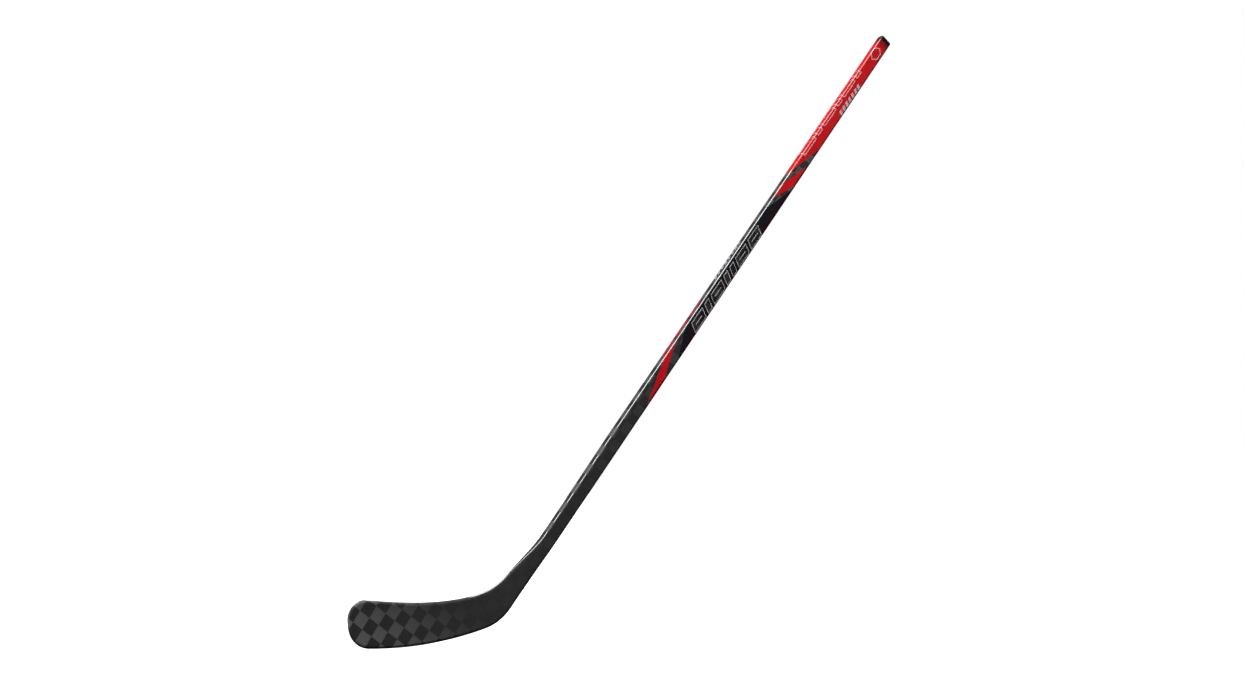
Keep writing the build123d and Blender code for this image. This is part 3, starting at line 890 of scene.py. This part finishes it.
def buildGrip():
    start = shaft["neckTopAt"]
    points, normals, cloth = (part[0] for part in wholeLoops(shaftRungs([start])))
    points = points - shaftUp * start
    edge = np.array(gripZone["edge"], float)
    start = np.interp((points - heel) @ sideUp, edge[:, 1], edge[:, 0])
    rows, allNormals, allCloth = [], [], []
    for lift, shares in ((film, np.linspace(0, 1, gripZone["rungs"])), (0.0, (1.0, 0.0))):
        for share in shares:
            at = start * (1 - share) + shaft["capAt"] * share
            rows.append(points + normals * lift + shaftUp * at[:, None])
            allNormals.append(normals if lift else -normals)
            allCloth.append(np.stack([at, cloth[:, 1]], 1))
    rows, normals, cloth = np.array(rows), np.array(allNormals), np.array(allCloth)
    piece = sweepPiece("gripZoneFilm", gripLacquer, rows, normals, cloth, ring=True)
    install(piece, "stick", "red_film", "grip_zone_film")


# a film from shapes on the forehand face or the narrow side, or, with both, on the two faces
def buildFilm(name, material, slot, node, shapes, layer=0, thick=film, both=True):
    if both:
        shapes = shapes + [otherFace(shape) for shape in shapes]
    piece = filmPiece(name, material, shapes, layer, thick)
    install(piece, "stick", slot, *([node] if node else []))


def buildFilms():
    buildGrip()
    for name, material, slot, node in (("lowerFlash", redLacquer, "red_film", "lower_flash_film"),
                                       ("upperFlash", redLacquer, "red_film", "upper_flash_film"),
                                       ("panel", panelLacquer, "panel_film", "face_panel_film")):
        shape = [(at, girthOf(rise)) for at, rise in faceFilms[name]]
        buildFilm(name + "Film", material, slot, node, [shape])
    low, high = dashes["low"], dashes["high"]
    tailAt = dashes["at"] + dashes["count"] * dashes["pitch"]
    tailEnd = tailAt + dashes["tail"]
    tail = [(tailAt, low), (tailEnd, high - dashes["tip"]), (tailEnd, high), (tailAt, high)]
    row = slantedRow(dashes) + [tail]
    buildFilm("sideDashFilms", redLacquer, "red_film", "side_dash_films", row, both=False)
    buildFilm("sideTickFilms", whiteInk, "white_film", "side_tick_films", slantedRow(ticks), both=False)
    buildFilm("gripTickFilms", whiteInk, "white_film", "grip_tick_films", slantedRow(gripTicks), 1)
    frames, fills = barRow(bars)
    buildFilm("faceBarFrames", silverInk, "silver_film", "face_motif_films", frames, 1)
    buildFilm("faceBarFills", fillCarbon, "carbon_shaft", None, fills, 1, fillThick)
    frames, fills = barRow(gripBars)
    buildFilm("gripBarFrames", gripInk, "silver_film", "grip_bar_films", frames, 1, both=False)
    ring = []
    for inset in (0, badge["stroke"]):
        long, tall = badge["half"] - inset * badge["tipStroke"], badge["tall"] - inset
        at, middle = badge["at"], badge["middle"]
        ring.append([(at - long, middle), (at - long / 2, middle - tall), (at + long / 2, middle - tall),
                     (at + long, middle), (at + long / 2, middle + tall), (at - long / 2, middle + tall)])
    buildFilm("gripBadgeFrame", gripInk, "silver_film", "grip_badge_film", [tuple(ring)], 1, both=False)


buildFilms()
print("films built")


insides = {              # the pieces inside keep their own shape and only take a finish
    "hosel_foam": coreFoam, "blade_tenon": innerCarbon, "tenon_core": coreFoam, "joint_adhesive": epoxy,
    "shaft_foam_dam": coreFoam, "core_lower": coreFoam, "core_stringer": innerCarbon,
    "core_upper": coreFoam,
}
for node, material in insides.items():
    frame["nodes"][node].data.materials.clear()
    frame["nodes"][node].data.materials.append(material)


studio = {               # metres, degrees, watts and shares of white
    "camera": {"place": (-0.4996, -1.7653, 0.3275), "turn": (94.108, 5.743, -26.361)},
    "lens": 30.63, "sensor": 36,     # millimetres
    "floor": 3.2, "floorLight": 1.0, "floorParts": 8, "paperGrain": 0.01667,
    "ambient": 0.06, "below": 0.015, "ambientFrom": 0.4,
    "key": {"place": (-0.7, -1.15, 2.65), "turn": (26.0, -22.0, 0.0), "size": (4.4, 1.2), "watts": 120},
    "front": {"place": (-1.7, -3.2, 0.9), "turn": (85.0, 0.0, -30.0), "size": (2.4, 2.0), "watts": 8},
    "back": {"place": (2.8, 1.1, 2.5), "turn": (52.3, 0.0, 116.6), "size": (1.4, 1.4), "watts": 62},
}


def setUp(holder, settings):
    holder.location = settings["place"]
    holder.rotation_euler = [math.radians(angle) for angle in settings["turn"]]
    bpy.context.scene.collection.objects.link(holder)


def softbox(name):
    settings = studio[name]
    lamp = bpy.data.lights.new(name + "Softbox", "AREA")
    lamp.shape = "RECTANGLE"
    lamp.size, lamp.size_y = settings["size"]
    lamp.energy = settings["watts"]
    setUp(bpy.data.objects.new(name + "Softbox", lamp), settings)


# pale matt paper, lit from itself so that it stays white without a shadow line
def buildFloor():
    material, tree = newFinish("palePaper")
    place = addNode(tree, "TexCoord", output="Object")
    grain = addNode(tree, "TexNoise", {"Vector": place, "Scale": 1 / studio["paperGrain"]})
    colour = addNode(tree, "Mix", {0: grain, 6: linear("#f4f4f4"), 7: linear("#fafafa")}, **colourMix)
    closeFinish(tree, {"Base Color": colour, "Roughness": 0.9, "Emission Color": linear("#ffffff"),
                       "Emission Strength": studio["floorLight"]})
    bm = bmesh.new()
    parts = studio["floorParts"]
    bmesh.ops.create_grid(bm, x_segments=parts, y_segments=parts, size=studio["floor"])
    mesh = bpy.data.meshes.new("paperFloor")
    bm.to_mesh(mesh)
    bm.free()
    mesh.materials.append(material)
    floor = bpy.data.objects.new("paperFloor", mesh)
    floor.location.z = cadBox[0].z
    floor.visible_glossy = False
    floor.visible_diffuse = False
    bpy.context.scene.collection.objects.link(floor)


# white seen directly, dim where it lights the stick, as with black flags round the set
def buildWorld():
    world = bpy.data.worlds.new("studioAir")
    world.use_nodes = True
    tree = world.node_tree
    tree.nodes.clear()
    seen = addNode(tree, "LightPath", output="Is Camera Ray")
    way = addNode(tree, "TexCoord", output="Generated")
    up = addNode(tree, "SeparateXYZ", {0: way}, output=2)
    dim = addNode(tree, "MapRange", {0: up, 1: 0.0, 2: studio["ambientFrom"], 3: studio["below"],
                                     4: studio["ambient"]})
    strength = addNode(tree, "MapRange", {0: seen, 1: 0.0, 2: 1.0, 3: dim, 4: 1.0})
    sky = addNode(tree, "Background", {"Color": (1, 1, 1, 1), "Strength": strength})
    addNode(tree, "OutputWorld", {"Surface": sky})
    bpy.context.scene.world = world


def buildCamera():
    lens = bpy.data.cameras.new("studioCamera")
    lens.lens, lens.sensor_width = studio["lens"], studio["sensor"]
    holder = bpy.data.objects.new("studioCamera", lens)
    setUp(holder, studio["camera"])
    bpy.context.scene.camera = holder


softbox("key")
softbox("front")
softbox("back")
buildFloor()
buildWorld()
buildCamera()
bpy.context.scene.view_settings.view_transform = "Standard"
print("studio set")
